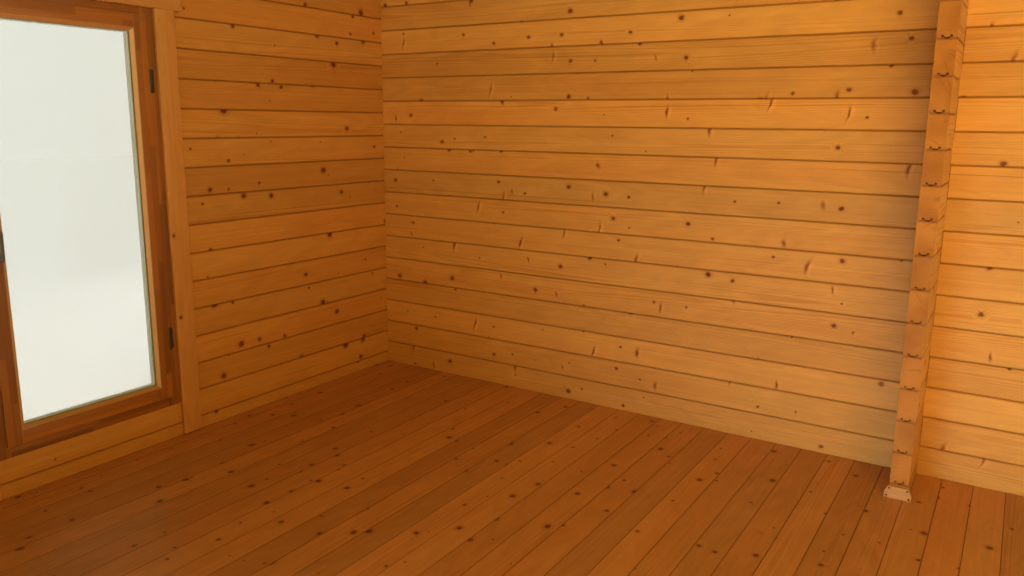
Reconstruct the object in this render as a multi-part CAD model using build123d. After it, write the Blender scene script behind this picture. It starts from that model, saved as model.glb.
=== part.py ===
from build123d import *
import os

os.makedirs("parts", exist_ok=True)

# A corner of a log cabin, in millimetres. Everything is first placed in the room's frame:
# the origin is the inside corner at the floor's top, +X runs along the back wall and the
# room lies at -Y. The left wall's room face is the plane X = 0, the back wall's is Y = 0.

# Logs
course = 133.0
log_thickness = 70.0
edge_bevel = 5.0
tongue_height = 9.0
tongue_root = 15.0
tongue_offset = 14.0
tongue_clearance = 1.0
groove_spare_depth = 2.0
middle_rib_gap = 3.5
notch_clearance = 0.5
log_tail = 150.0

# Walls
course_count_over_window = 2
back_wall_length = 3500.0
left_wall_length = 2660.0
stub_from_corner = 2930.0
stub_projection = 306.0

# Floor and its timbers
log_base_below_floor = 8.0
deck_thickness = 26.0
deck_gap = 2.0
joist_width = 45.0
joist_height = 70.0
joist_count = 7
joist_end_gap = 0.3

# Foot block that closes the stub's lowest course
foot_side_lap = 15.0
foot_height = 50.0
foot_thickness = 13.0
foot_bevel_width = 12.0
foot_bevel_height = 24.0
foot_screw_radius = 4.5
foot_screw_depth = 8.0
foot_screw_inset = 9.0

# Window in the left wall, given by its sash
sash_from_corner = 1516.0
sash_above_floor = 205.0
sash_width = 727.0
sash_height = 1706.0
sash_thickness = 68.0
sash_proud = 16.0
sash_face_width = 56.0
sash_bevel_width = 16.0
sash_bevel_depth = 12.0
sash_reveal_depth = 8.0
sash_outer_bevel_width = 12.0
sash_outer_bevel_depth = 14.0
sash_lap = 18.0
sash_seat_gap = 0.3
sash_running_gap = 4.0
frame_rim = 58.0
frame_sill_rim = 48.0
frame_stop = 16.0
frame_seal_gap = 3.0
opening_side_gap = 10.0
opening_settling_gap = 30.0

# Double glazing
pane_thickness = 4.0
spacer_depth = 16.0
spacer_show = 6.0
spacer_width = 12.0
glass_bite = 14.0
glass_edge_gap = 2.0

# Casing boards round the window
casing_width = 95.0
casing_thickness = 18.0
casing_lap = 12.0
head_casing_lap = 25.0
head_casing_height = 95.0
head_casing_thickness = 22.0
head_casing_overhang = 30.0
casing_above_floor = 4.0
drip_board_height = 36.0
drip_board_projection = 45.0
drip_board_fall = 12.0

# Window handle and hinges
handle_above_floor = 1050.0
handle_from_sash_edge = 40.0
rosette_width = 28.0
rosette_height = 66.0
rosette_thickness = 9.0
neck_radius = 8.0
neck_length = 32.0
lever_width = 20.0
lever_thickness = 11.0
lever_length = 118.0
hinge_radius = 7.0
hinge_length = 100.0
hinge_from_sash_end = 225.0
hinge_leaf_thickness = 3.0
hinge_leaf_width = 22.0
hinge_seat_gap = 0.3

# How far a cut reaches past the face that it starts from
overshoot = 1.0

# Levels and faces that follow from the sizes above
quarter = course / 4
log_base = -log_base_below_floor
joist_top = -deck_thickness
ground = joist_top - joist_height
stub_middle = stub_from_corner + log_thickness / 2
left_wall_middle = -log_thickness / 2
crossing = -log_thickness / 2

# Window levels, measured from the corner along the wall and up from the floor
sash_top = sash_above_floor + sash_height
frame_near = sash_from_corner - frame_rim
frame_far = sash_from_corner + sash_width + frame_rim
frame_bottom = sash_above_floor - frame_sill_rim
frame_top = sash_top + frame_rim
opening_near = frame_near - opening_side_gap
opening_far = frame_far + opening_side_gap
opening_top = frame_top + opening_settling_gap
frame_back = -log_thickness
sash_back = sash_proud - sash_thickness
sash_reveal = sash_proud - sash_bevel_depth
glass_front = sash_reveal - sash_reveal_depth
glass_back = glass_front - 2 * pane_thickness - spacer_depth
sight_inset = sash_face_width + sash_bevel_width

# The back wall is tall enough for whole cross logs over the window
window_courses = int((opening_top - log_base + course / 2) // course)
back_courses = window_courses + course_count_over_window
wall_top = log_base + back_courses * course

# The part's own frame has its origin below the middle of everything, on the ground
middle_x = (back_wall_length - log_thickness - log_tail) / 2
middle_y = (log_thickness + log_tail - left_wall_length) / 2
to_part_frame = Pos(-middle_x, -middle_y, -ground)


def save(name, *solids):
    placed = [to_part_frame * solid for solid in solids]
    shape = placed[0] if len(placed) == 1 else Compound(children=placed)
    shape.label = name
    export_step(shape, f"parts/{name}.step")


def block(x_range, y_range, z_range):
    low = [min(r) for r in (x_range, y_range, z_range)]
    size = [max(r) - min(r) for r in (x_range, y_range, z_range)]
    return Pos(*low) * Box(*size, align=(Align.MIN, Align.MIN, Align.MIN))


# Log with two tongues above and two grooves below, lying along X over its middle plane.
# The rib between its grooves stops short of the log below, which leaves a small gap.
def log(start, end, height, grooved=True, tongued=True):
    half = log_thickness / 2
    root = tongue_root / 2
    groove = root + tongue_clearance
    side = []
    if grooved:
        side += [
            (tongue_offset - groove, middle_rib_gap),
            (tongue_offset, tongue_height + groove_spare_depth),
            (tongue_offset + groove, 0),
        ]
    side += [
        (half - edge_bevel, 0),
        (half, edge_bevel),
        (half, height - edge_bevel),
        (half - edge_bevel, height),
    ]
    if tongued:
        side += [
            (tongue_offset + root, height),
            (tongue_offset, height + tongue_height),
            (tongue_offset - root, height),
        ]
    other_side = [(-y, z) for y, z in reversed(side)]
    outline = Plane.YZ * make_face(Polyline(*side, *other_side, close=True))
    return Pos(start, 0, 0) * extrude(outline, end - start, dir=(1, 0, 0))


# Notches let a crossing log in by a quarter of a course from above and from below
def notched(timber, places, height, below=True, above=True):
    reach = log_thickness / 2 + notch_clearance
    over = tongue_height + overshoot
    across = (-log_thickness, log_thickness)
    for x in places:
        if below:
            timber -= block((x - reach, x + reach), across, (-over, quarter))
        if above:
            timber -= block((x - reach, x + reach), across, (height - quarter, height + over))
    return timber


def on_back_wall(timber, level):
    return Pos(0, log_thickness / 2, level) * timber


def on_cross_wall(timber, middle, level):
    return Pos(middle, 0, level) * Rot(0, 0, -90) * timber


# Back wall: one log a course, from its tail past the left wall to its far end
def back_logs():
    logs = []
    start = -log_thickness - log_tail
    for i in range(back_courses):
        timber = log(start, back_wall_length, course, i > 0, i < back_courses - 1)
        timber = notched(timber, (left_wall_middle, stub_middle), course)
        logs.append(on_back_wall(timber, log_base + i * course))
    return logs


# Cross walls start and end with half a log, so that their joints lie half a course off
def cross_courses():
    levels = [(log_base, course / 2)]
    levels += [(log_base + (i + 0.5) * course, course) for i in range(back_courses - 1)]
    levels.append((wall_top - course / 2, course / 2))
    return levels


def cross_log(index, start, end, crossings=(crossing,)):
    level, height = cross_courses()[index]
    lowest, highest = index == 0, index == back_courses
    timber = log(start, end, height, not lowest, not highest)
    return notched(timber, crossings, height, not lowest, not highest)


# Left wall: whole logs below and above the window, short ones on each side of it
def left_logs():
    whole, near, far = {}, {}, {}
    tail = -log_thickness - log_tail
    for i, (level, height) in enumerate(cross_courses()):
        top = level + height
        if level >= frame_bottom and top <= opening_top:
            short = cross_log(i, tail, opening_near)
            end = cross_log(i, opening_far, left_wall_length, ())
            near[i] = on_cross_wall(short, left_wall_middle, level)
            far[i] = on_cross_wall(end, left_wall_middle, level)
            continue
        timber = cross_log(i, tail, left_wall_length)
        cut_low = max(frame_bottom, level - overshoot) - level
        cut_high = min(opening_top, top + tongue_height + overshoot) - level
        if cut_low < height and cut_high > 0:
            span = (opening_near, opening_far)
            timber -= block(span, (-log_thickness, log_thickness), (cut_low, cut_high))
        whole[i] = on_cross_wall(timber, left_wall_middle, level)
    return whole, near, far


def stub_logs():
    logs = []
    for i, (level, height) in enumerate(cross_courses()):
        timber = cross_log(i, -log_thickness - log_tail, stub_projection)
        logs.append(on_cross_wall(timber, stub_middle, level))
    return logs


# Block screwed to the end of the stub's lowest course, its upper corners cut to a slope
def foot_block():
    half = log_thickness / 2 + foot_side_lap
    half_top = half - foot_bevel_width
    shoulder = foot_height - foot_bevel_height
    side = [(half, 0), (half, shoulder), (half_top, foot_height)]
    other_side = [(-x, z) for x, z in reversed(side)]
    front = -stub_projection - foot_thickness
    place = Plane((stub_middle, front, 0), x_dir=(1, 0, 0), z_dir=(0, -1, 0))
    body = extrude(place * make_face(Polyline(*side, *other_side, close=True)), -foot_thickness)
    lower, upper = foot_screw_inset, foot_height - foot_screw_inset
    slope = foot_bevel_width * (upper - shoulder) / foot_bevel_height
    for z, edge in ((lower, half), (upper, half - slope)):
        for x in (foot_screw_inset - edge, edge - foot_screw_inset):
            body -= extrude(place * Pos(x, z) * Circle(foot_screw_radius), -foot_screw_depth)
    return body


# Floor: a deck on joists between the walls' bearers
def floor_deck():
    deck = block(
        (deck_gap, back_wall_length),
        (-left_wall_length, -deck_gap),
        (-deck_thickness, 0),
    )
    stub_reach = log_thickness / 2 + deck_gap
    return deck - block(
        (stub_middle - stub_reach, stub_middle + stub_reach),
        (-stub_projection - deck_gap, 0),
        (-deck_thickness - overshoot, overshoot),
    )


def floor_joists():
    joists = []
    pitch = (left_wall_length - joist_width - joist_end_gap) / (joist_count - 1)
    levels = (ground, joist_top)
    for i in range(joist_count):
        back = -joist_end_gap - i * pitch
        depth = (back - joist_width, back)
        spans = [(joist_end_gap, back_wall_length)]
        if back > -stub_projection:
            left_end = stub_middle - log_thickness / 2 - joist_end_gap
            right_start = stub_middle + log_thickness / 2 + joist_end_gap
            spans = [(joist_end_gap, left_end), (right_start, back_wall_length)]
        joists += [block(span, depth, levels) for span in spans]
    return joists


def bearers():
    levels = (ground, log_base)
    stub_sides = (stub_middle - log_thickness / 2, stub_middle + log_thickness / 2)
    return {
        "back_bearer": block((-log_thickness, back_wall_length), (0, log_thickness), levels),
        "left_bearer": block((-log_thickness, 0), (-left_wall_length, 0), levels),
        "stub_bearer": block(stub_sides, (-stub_projection, 0), levels),
    }


# Solid that fills the sash's outline, drawn in by an inset, between two depths
def window_block(inset, front, back):
    return block(
        (back, front),
        (-sash_from_corner - sash_width + inset, -sash_from_corner - inset),
        (sash_above_floor + inset, sash_top - inset),
    )


def window_outline(inset, depth):
    centre_y = -sash_from_corner - sash_width / 2
    centre_z = sash_above_floor + sash_height / 2
    place = Plane((depth, centre_y, centre_z), x_dir=(0, -1, 0), z_dir=(1, 0, 0))
    return place * Rectangle(sash_width - 2 * inset, sash_height - 2 * inset)


# Frame: flush with both faces of the wall, with a stop behind the sash and a lower rim at its sill
def window_frame():
    inner = sash_lap - sash_running_gap
    stop_front = sash_back - frame_seal_gap
    ring = block((frame_back, 0), (-frame_far, -frame_near), (frame_bottom, frame_top))
    ring -= window_block(inner, overshoot, stop_front)
    return ring - window_block(inner + frame_stop, stop_front + overshoot, frame_back - overshoot)


# Sash: a lapped rim in front of the frame, a glazing groove, and a bevel on both faces
def window_sash():
    sash = window_block(0, sash_proud, sash_seat_gap)
    sash += window_block(sash_lap, sash_proud, sash_back)
    sash -= window_block(sight_inset - glass_bite, glass_front, glass_back)
    sash -= window_block(sight_inset, sash_proud + overshoot, sash_back - overshoot)
    room_bevel = [window_outline(sash_face_width, sash_proud), window_outline(sight_inset, sash_reveal)]
    outer_bevel = [
        window_outline(sight_inset, sash_back + sash_outer_bevel_depth),
        window_outline(sight_inset - sash_outer_bevel_width, sash_back),
    ]
    return sash - loft(room_bevel) - loft(outer_bevel)


def glazing():
    edge = sight_inset - glass_bite + glass_edge_gap
    inner_pane = window_block(edge, glass_front, glass_front - pane_thickness)
    outer_pane = window_block(edge, glass_back + pane_thickness, glass_back)
    front, back = glass_front - pane_thickness, glass_back + pane_thickness
    spacer_inner = sight_inset + spacer_show
    spacer = window_block(spacer_inner - spacer_width, front, back)
    spacer -= window_block(spacer_inner, front + overshoot, back - overshoot)
    return inner_pane, outer_pane, spacer


# Casing boards: uprights on each side, a wider head board on top of them
def casing(face, outward):
    near = frame_near + casing_lap
    far = frame_far - casing_lap
    head_bottom = frame_top - head_casing_lap
    depth = (face, face + outward * casing_thickness)
    head_depth = (face, face + outward * head_casing_thickness)
    levels = (casing_above_floor, head_bottom)
    uprights = [
        block(depth, (-near, -near + casing_width), levels),
        block(depth, (-far - casing_width, -far), levels),
    ]
    reach = casing_width + head_casing_overhang
    head = block(
        head_depth,
        (-far - reach, -near + reach),
        (head_bottom, head_bottom + head_casing_height),
    )
    return uprights, head


# Sloping board that throws rain off below the window, outside
def drip_board():
    front = -log_thickness - drip_board_projection
    low = frame_bottom - drip_board_height
    section = make_face(
        Polyline(
            (-log_thickness, low),
            (front, low),
            (front, frame_bottom - drip_board_fall),
            (-log_thickness, frame_bottom),
            close=True,
        )
    )
    length = frame_far - frame_near - 2 * casing_lap
    return Pos(0, -frame_near - casing_lap, 0) * extrude(Plane.XZ * section, length, dir=(0, -1, 0))


# Handle on the stile away from the corner, its lever hanging down
def window_handle():
    y = -sash_from_corner - sash_width + handle_from_sash_edge
    outline = SlotOverall(rosette_height, rosette_width, rotation=90)
    place = Plane((sash_proud, y, handle_above_floor), x_dir=(0, 1, 0), z_dir=(1, 0, 0))
    rosette = extrude(place * outline, rosette_thickness)
    neck = extrude(place * Circle(neck_radius), rosette_thickness + neck_length)
    lever_front = sash_proud + rosette_thickness + neck_length
    lever_place = Plane((lever_front, y, handle_above_floor), x_dir=(0, 1, 0), z_dir=(1, 0, 0))
    drop = -(lever_length - lever_width) / 2
    lever_outline = Pos(0, drop) * SlotOverall(lever_length, lever_width, rotation=90)
    lever = extrude(lever_place * lever_outline, -lever_thickness)
    return rosette + neck + lever


# Barrel hinges in the groove between the sash and the casing nearest the corner
def window_hinges():
    hinges = []
    y = -sash_from_corner + hinge_radius + hinge_seat_gap
    x = hinge_radius + hinge_leaf_thickness
    lows = (sash_above_floor + hinge_from_sash_end, sash_top - hinge_from_sash_end - hinge_length)
    for low in lows:
        barrel = Pos(x, y, low + hinge_length / 2) * Cylinder(hinge_radius, hinge_length)
        leaf = block(
            (0, hinge_leaf_thickness + hinge_radius / 2),
            (y, y + hinge_leaf_width),
            (low, low + hinge_length),
        )
        hinges.append(barrel + leaf)
    return hinges


for number, timber in enumerate(back_logs(), start=1):
    save(f"back_log_{number:02d}", timber)

whole, near, far = left_logs()
below = [whole[i] for i in whole if i < min(near)]
above = [whole[i] for i in whole if i > max(near)]
save("left_base_log", *below[:-1])
save("left_sill_log", below[-1])
save("left_head_log", above[0])
save("left_upper_log", *above[1:-1])
save("left_top_log", above[-1])
save("left_near_logs_even", *[near[i] for i in near if i % 2 == 0])
save("left_near_logs_odd", *[near[i] for i in near if i % 2 == 1])
save("left_far_logs_even", *[far[i] for i in far if i % 2 == 0])
save("left_far_logs_odd", *[far[i] for i in far if i % 2 == 1])

stub = stub_logs()
save("stub_logs_even", *stub[0::2])
save("stub_logs_odd", *stub[1::2])
save("stub_foot_block", foot_block())

save("floor_deck", floor_deck())
save("floor_joists", *floor_joists())
for name, timber in bearers().items():
    save(name, timber)

save("window_frame", window_frame())
save("window_sash", window_sash())
inner_pane, outer_pane, spacer = glazing()
save("window_panes", inner_pane, outer_pane)
save("glass_spacer", spacer)
inner_uprights, inner_head = casing(0, 1)
outer_uprights, outer_head = casing(-log_thickness, -1)
save("inner_casing_uprights", *inner_uprights)
save("inner_head_casing", inner_head)
save("outer_casing_uprights", *outer_uprights)
save("outer_head_casing", outer_head)
save("drip_board", drip_board())
save("window_handle", window_handle())
save("window_hinges", *window_hinges())
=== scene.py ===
import math
import random

import bpy
from mathutils import Matrix, Vector


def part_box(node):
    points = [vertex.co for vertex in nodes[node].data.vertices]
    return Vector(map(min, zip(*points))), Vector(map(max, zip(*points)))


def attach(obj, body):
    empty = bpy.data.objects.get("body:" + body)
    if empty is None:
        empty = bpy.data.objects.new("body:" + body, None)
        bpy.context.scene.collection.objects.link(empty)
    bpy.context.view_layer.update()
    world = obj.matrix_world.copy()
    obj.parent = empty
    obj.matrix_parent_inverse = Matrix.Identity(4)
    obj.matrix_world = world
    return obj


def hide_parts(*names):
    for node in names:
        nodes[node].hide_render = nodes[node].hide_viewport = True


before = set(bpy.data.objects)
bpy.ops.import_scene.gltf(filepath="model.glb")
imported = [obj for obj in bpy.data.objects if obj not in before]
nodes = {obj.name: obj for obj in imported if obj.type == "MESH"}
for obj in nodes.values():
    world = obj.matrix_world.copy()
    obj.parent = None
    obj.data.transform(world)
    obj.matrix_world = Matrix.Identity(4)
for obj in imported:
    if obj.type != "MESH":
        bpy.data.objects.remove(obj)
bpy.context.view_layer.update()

scene = bpy.context.scene
random.seed(41)
print("frame loaded:", len(nodes), "nodes")

# places that everything else is measured from, in metres
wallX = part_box("left_bearer")[1][0]            # room face of the left wall
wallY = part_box("back_bearer")[0][1]            # room face of the back wall
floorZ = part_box("floor_deck")[1][2]
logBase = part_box("back_log_01")[0][2]
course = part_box("back_log_02")[0][2] - logBase
stubLow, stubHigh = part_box("stub_bearer")
stubX = (stubLow[0] + stubHigh[0]) / 2
wallThick = stubHigh[0] - stubLow[0]
sashLow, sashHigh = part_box("window_sash")


# camera
cameraLook = {
    "place": (1.6235, -2.4664, 1.5761),
    "turn": 0.5638,          # to the left of straight ahead, radians
    "down": 0.1915,
    "roll": 0.0093,
    "lens": 28.245,
    "sensor": 36.0,
    "shift": (-0.0024, -0.0108),
    "clip": (0.02, 60.0),
}


def makeCamera(look):
    data = bpy.data.cameras.new("roomCamera")
    data.sensor_fit = "HORIZONTAL"
    data.sensor_width = look["sensor"]
    data.lens = look["lens"]
    data.shift_x, data.shift_y = look["shift"]
    data.clip_start, data.clip_end = look["clip"]
    camera = bpy.data.objects.new("roomCamera", data)
    scene.collection.objects.link(camera)
    camera.matrix_world = (
        Matrix.Translation(look["place"])
        @ Matrix.Rotation(look["turn"], 4, "Z")
        @ Matrix.Rotation(math.pi / 2 - look["down"], 4, "X")
        @ Matrix.Rotation(look["roll"], 4, "Z")
    )
    scene.camera = camera


makeCamera(cameraLook)
print("camera placed")


# small modelling helpers
def deselectAll():
    if bpy.context.object and bpy.context.object.mode != "OBJECT":
        bpy.ops.object.mode_set(mode="OBJECT")
    bpy.ops.object.select_all(action="DESELECT")


def activate(piece):
    deselectAll()
    piece.select_set(True)
    bpy.context.view_layer.objects.active = piece


def settle(name):
    # names the new primitive and puts its place into its mesh
    piece = bpy.context.object
    bpy.ops.object.transform_apply(location=True, rotation=True, scale=True)
    piece.name = name
    piece.data.name = name
    return piece


def addBox(name, low, high):
    deselectAll()
    middle = [(a + b) / 2 for a, b in zip(low, high)]
    size = [b - a for a, b in zip(low, high)]
    bpy.ops.mesh.primitive_cube_add(size=1, location=middle, scale=size)
    return settle(name)


def addRod(name, middle, radius, length, axis, sides):
    deselectAll()
    turn = (0, math.pi / 2 if axis == "X" else 0, 0)
    bpy.ops.mesh.primitive_cylinder_add(
        vertices=sides, radius=radius, depth=length, location=middle, rotation=turn
    )
    return settle(name)


def pick(piece, kind, test):
    # goes into edit mode with just the edges or faces that pass the test
    activate(piece)
    mesh = piece.data
    for group in (mesh.polygons, mesh.edges, mesh.vertices):
        group.foreach_set("select", [False] * len(group))
    bpy.context.tool_settings.mesh_select_mode = (False, kind == "EDGE", kind == "FACE")
    if kind == "EDGE":
        for edge in mesh.edges:
            a, b = (mesh.vertices[i].co for i in edge.vertices)
            edge.select = test(a, b)
    else:
        for face in mesh.polygons:
            face.select = test(face.center, face.normal)
    bpy.ops.object.mode_set(mode="EDIT")


def editAll(piece):
    activate(piece)
    bpy.ops.object.mode_set(mode="EDIT")
    bpy.ops.mesh.select_all(action="SELECT")


def leaveEdit():
    bpy.ops.object.mode_set(mode="OBJECT")


def bevelEdges(piece, width, steps, *tests):
    # bevels the edges that pass all the tests
    pick(piece, "EDGE", lambda a, b: all(test(a, b) for test in tests))
    bpy.ops.mesh.bevel(offset=width, segments=steps, affect="EDGES", clamp_overlap=True)
    leaveEdit()


def runsAlong(axis):
    # true for edges that lie along an axis
    return lambda a, b: abs(b[axis] - a[axis]) > 0.99 * (b - a).length


def runsAcross(axis):
    # true for edges that lie square to an axis
    return lambda a, b: abs(b[axis] - a[axis]) < 0.01 * (b - a).length


def lieAt(axis, level):
    # true for edges with both ends at a level along an axis
    return lambda a, b: max(abs(a[axis] - level), abs(b[axis] - level)) < 0.00001


def facing(axis, way):
    # true for faces that look up an axis (1) or down it (-1)
    return lambda middle, normal: normal[axis] * way > 0.9


def cutOff(piece, place, normal):
    # removes what lies on the normal's side of a plane and closes the cut
    editAll(piece)
    bpy.ops.mesh.bisect(plane_co=place, plane_no=normal, use_fill=True, clear_outer=True)
    leaveEdit()


def copyOf(piece, name, move):
    twin = bpy.data.objects.new(name, piece.data.copy())
    twin.data.name = name
    twin.data.transform(Matrix.Translation(move))
    scene.collection.objects.link(twin)
    return twin


def joinAll(parts, name):
    deselectAll()
    for part in parts:
        part.select_set(True)
    bpy.context.view_layer.objects.active = parts[0]
    if len(parts) > 1:
        bpy.ops.object.join()
    piece = bpy.context.object
    piece.name = name
    piece.data.name = name
    return piece


def roundEdges(piece, width, steps=2, angle=30):
    activate(piece)
    bevel = piece.modifiers.new("rounding", "BEVEL")
    bevel.width = width
    bevel.segments = steps
    bevel.limit_method = "ANGLE"
    bevel.angle_limit = math.radians(angle)
    bpy.ops.object.modifier_apply(modifier=bevel.name)


def smooth(piece, angle=35):
    activate(piece)
    bpy.ops.object.shade_smooth_by_angle(angle=math.radians(angle))
    return piece


def cutAway(piece, cutter):
    activate(piece)
    hole = piece.modifiers.new("cut", "BOOLEAN")
    hole.operation = "DIFFERENCE"
    hole.solver = "EXACT"
    hole.object = cutter
    bpy.ops.object.modifier_apply(modifier=hole.name)
    bpy.data.objects.remove(cutter, do_unlink=True)


def nodeCopy(name, node):
    # a merged copy of a CAD mesh, with its flat faces made whole
    piece = bpy.data.objects.new(name, nodes[node].data.copy())
    piece.data.name = name
    scene.collection.objects.link(piece)
    editAll(piece)
    bpy.ops.mesh.remove_doubles(threshold=0.00002)
    bpy.ops.mesh.dissolve_limited(angle_limit=math.radians(0.5))
    leaveEdit()
    return piece


def place(piece, slot, material, *replaced):
    piece.data.materials.clear()
    piece.data.materials.append(material)
    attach(piece, "root")
    if replaced:
        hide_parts(*replaced)


def finishNodes(names, material):
    for name in names:
        for held in nodes[name].material_slots:
            held.material = material


# shader helpers
def mathPair(operation):
    def plain(self, other):
        return self.paint.sum(operation, self, other)

    def reflected(self, other):
        return self.paint.sum(operation, other, self)

    return plain, reflected


class Wire:
    # one socket of a material; arithmetic on it adds Math nodes
    def __init__(self, paint, socket):
        self.paint = paint
        self.socket = socket

    def also(self, name):
        return Wire(self.paint, self.socket.node.outputs[name])

    def __abs__(self):
        return self.paint.sum("ABSOLUTE", self)

    __add__, __radd__ = mathPair("ADD")
    __sub__, __rsub__ = mathPair("SUBTRACT")
    __mul__, __rmul__ = mathPair("MULTIPLY")
    __truediv__, __rtruediv__ = mathPair("DIVIDE")
    __pow__, __rpow__ = mathPair("POWER")


class Paint:
    # a material's node tree
    def __init__(self, name):
        self.material = bpy.data.materials.new(name)
        self.material.use_nodes = True
        self.tree = self.material.node_tree
        self.tree.nodes.clear()

    def node(self, kind, settings=None, sockets=None, out=0):
        made = self.tree.nodes.new("ShaderNode" + kind)
        for key, value in (settings or {}).items():
            if key == "stops":
                ramp = made.color_ramp.elements
                while len(ramp) < len(value):
                    ramp.new(0.5)
                for stop, (spot, colour) in zip(ramp, value):
                    stop.position = spot
                    stop.color = (*colour, 1.0)
            else:
                setattr(made, key, value)
        for key, value in (sockets or {}).items():
            socket = made.inputs[key]
            if isinstance(value, Wire):
                self.tree.links.new(value.socket, socket)
            elif socket.type == "RGBA":
                socket.default_value = (*value, 1.0)
            else:
                socket.default_value = value
        return Wire(self, made.outputs[out])

    def sum(self, operation, *values):
        return self.node("Math", {"operation": operation}, dict(enumerate(values)))

    def split(self, vector):
        first = self.node("SeparateXYZ", sockets={0: vector})
        return first, first.also("Y"), first.also("Z")

    def point(self, x, y, z=0.0):
        return self.node("CombineXYZ", sockets={"X": x, "Y": y, "Z": z})

    def mix(self, factor, first, second, blend="MIX"):
        settings = {"data_type": "RGBA", "blend_type": blend}
        return self.node("Mix", settings, {0: factor, 6: first, 7: second}, out=2)

    def tint(self, colour, amount):
        # a colour made lighter or darker by a value
        return self.node("VectorMath", {"operation": "SCALE"}, {0: colour, "Scale": amount})

    def shade(self, colour, mask, kept):
        # where a mask is 1, only this share of a colour is kept
        return self.mix(mask, colour, kept, "MULTIPLY")

    def step(self, value, low, high):
        # 0 up to low, 1 from high on
        settings = {"interpolation_type": "SMOOTHSTEP"}
        sockets = {"Value": value, "From Min": low, "From Max": high}
        return self.node("MapRange", settings, sockets)

    def fade(self, value, low, high):
        # 1 up to low, 0 from high on
        return 1.0 - self.step(value, low, high)

    def share(self, number, part):
        # 1 in this part of all cases, each with a number from 0 to 1
        return self.step(number, 1.0 - part, 1.01 - part)

    def noise(self, vector, detail, rough=0.5, scale=1.0):
        sockets = {"Vector": vector, "Scale": scale, "Detail": detail, "Roughness": rough}
        return self.node("TexNoise", {"noise_dimensions": "3D"}, sockets)

    def waver(self, x, y, z, detail=0.0, rough=0.5):
        # noise on both sides of 0
        return self.noise(self.point(x, y, z), detail, rough) - 0.5

    def chance(self, x, y, z):
        # three numbers from 0 to 1 that stay the same over one timber
        return self.split(self.node("TexWhiteNoise", {"noise_dimensions": "3D"},
                                    {"Vector": self.point(x, y, z)}, out="Color"))

    def cells(self, x, y):
        return self.node("TexVoronoi", {"voronoi_dimensions": "2D", "feature": "F1"},
                         {"Vector": self.point(x, y), "Scale": 1.0}, out="Distance")

    def oval(self, x, y, wide, tall):
        # 0 in the middle of an oval, 1 on its edge
        return ((x / wide) ** 2.0 + (y / tall) ** 2.0) ** 0.5

    def coords(self, kind="Object"):
        return self.node("TexCoord", out=kind)

    def finish(self, colour, roughness, height=None, depth=0.0005, extra=None):
        sockets = {"Base Color": colour, "Roughness": roughness}
        if height is not None:
            sockets["Normal"] = self.node("Bump", sockets={
                "Strength": 1.0, "Distance": depth, "Height": height})
        sockets.update(extra or {})
        shader = self.node("BsdfPrincipled", sockets=sockets)
        output = self.tree.nodes.new("ShaderNodeOutputMaterial")
        self.tree.links.new(shader.socket, output.inputs[0])
        return self.material


# wood
# u runs along a timber, v across its face and w into it, all in metres
woodBase = {
    "light": (0.71, 0.340, 0.078),
    "dark": (0.49, 0.175, 0.030),
    "knot": (0.26, 0.135, 0.06),  # share of the wood's colour that a knot keeps
    "figure": 0.34,
    "toneSpread": 0.24,        # how much the timbers differ
    "ringGap": 0.0036,
    "ringDepth": 0.41,
    "streaks": 0.55,
    "bands": 0.75,
    "knotCell": 0.150,         # one place for a knot in about each such square
    "knotSmall": 0.0030,
    "knotLarge": 0.0115,
    "knotShare": 0.60,         # part of those places that hold a knot
    "spikes": 0.0,             # the same for knots sawn lengthways
    "checks": 0.0,             # how often drying cracks open
    "endLight": (0.54, 0.205, 0.042),
    "endDark": (0.30, 0.095, 0.016),
    "roughness": 0.52,
    "grainDepth": 0.0004,
}
ringLook = {
    "pithAcross": 0.14,        # how far the pith may lie off the timber's middle
    "pithDeep": 0.20,
    "pithWander": 0.09,
    "sway": 0.010,
    "taper": 0.0016,           # how much wider the rings get in a metre
    "stops": [                 # pale spring wood, then the dark summer line
        (0.0, (0.1, 0.1, 0.1)), (0.45, (0.0, 0.0, 0.0)),
        (0.86, (1.0, 1.0, 1.0)), (1.0, (0.1, 0.1, 0.1)),
    ],
    "plainWood": 0.34,         # how far from light to dark it is between the rings
    "redder": (0.98, 0.84, 0.66),
}
knotLook = {
    "stretch": 1.15,           # knots stand further apart along the timber
    "wobbleAlong": 0.045,
    "wobbleAcross": 0.03,
    "rarity": 1.4,             # over 1 makes large knots rare
    # where each part fades out, in knot radii
    "heartFade": (0.7, 1.15),
    "haloFade": (0.7, 2.5),
    "rimAt": 0.92,
    "rimFade": (0.0, 0.26),
    "bendFade": (0.2, 3.6),
    "bend": 0.9,               # how far the rings go round a knot
    "heartStrength": 0.95,
    "haloStrength": 0.55,
    "rimStrength": 0.7,
    "halo": (0.60, 0.45, 0.34),  # the share of the colour that is kept
    "rim": (0.45, 0.40, 0.40),
    "palest": 1.9,             # the palest heart against the darkest
}
spikeLook = {
    "places": (2.6, 4.6),      # in a metre along the timber and up
    "lean": 0.6,
    "curl": 14.0,
    "wobble": 0.008,
    "thin": 0.0040,
    "thickMore": 0.0050,
    "wedge": 0.12,
    "short": 0.009,
    "tallMore": 0.019,
    "flareOff": 0.013,         # a pale patch beside the spike
    "flareWide": 0.010,
    "flareTall": 1.5,
    "flareFade": (0.2, 1.5),
    "edgeFade": (0.6, 2.3),
    "coreFade": (0.3, 1.3),
    "flare": (1.26, 1.30, 1.45),
    "edge": (0.70, 0.54, 0.42),
    "core": (0.26, 0.17, 0.13),
}
checkLook = {
    "seldom": 0.64,            # the noise has to pass this where checks is 0
    "easier": 0.2,             # and this much less where it is 1
    "offMiddle": 0.085,
    "stray": 0.03,
    "edge": (0.0002, 0.0026),
    "kept": (0.50, 0.38, 0.30),
    "strength": 0.6,
    "depth": 1.5,
}
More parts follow.
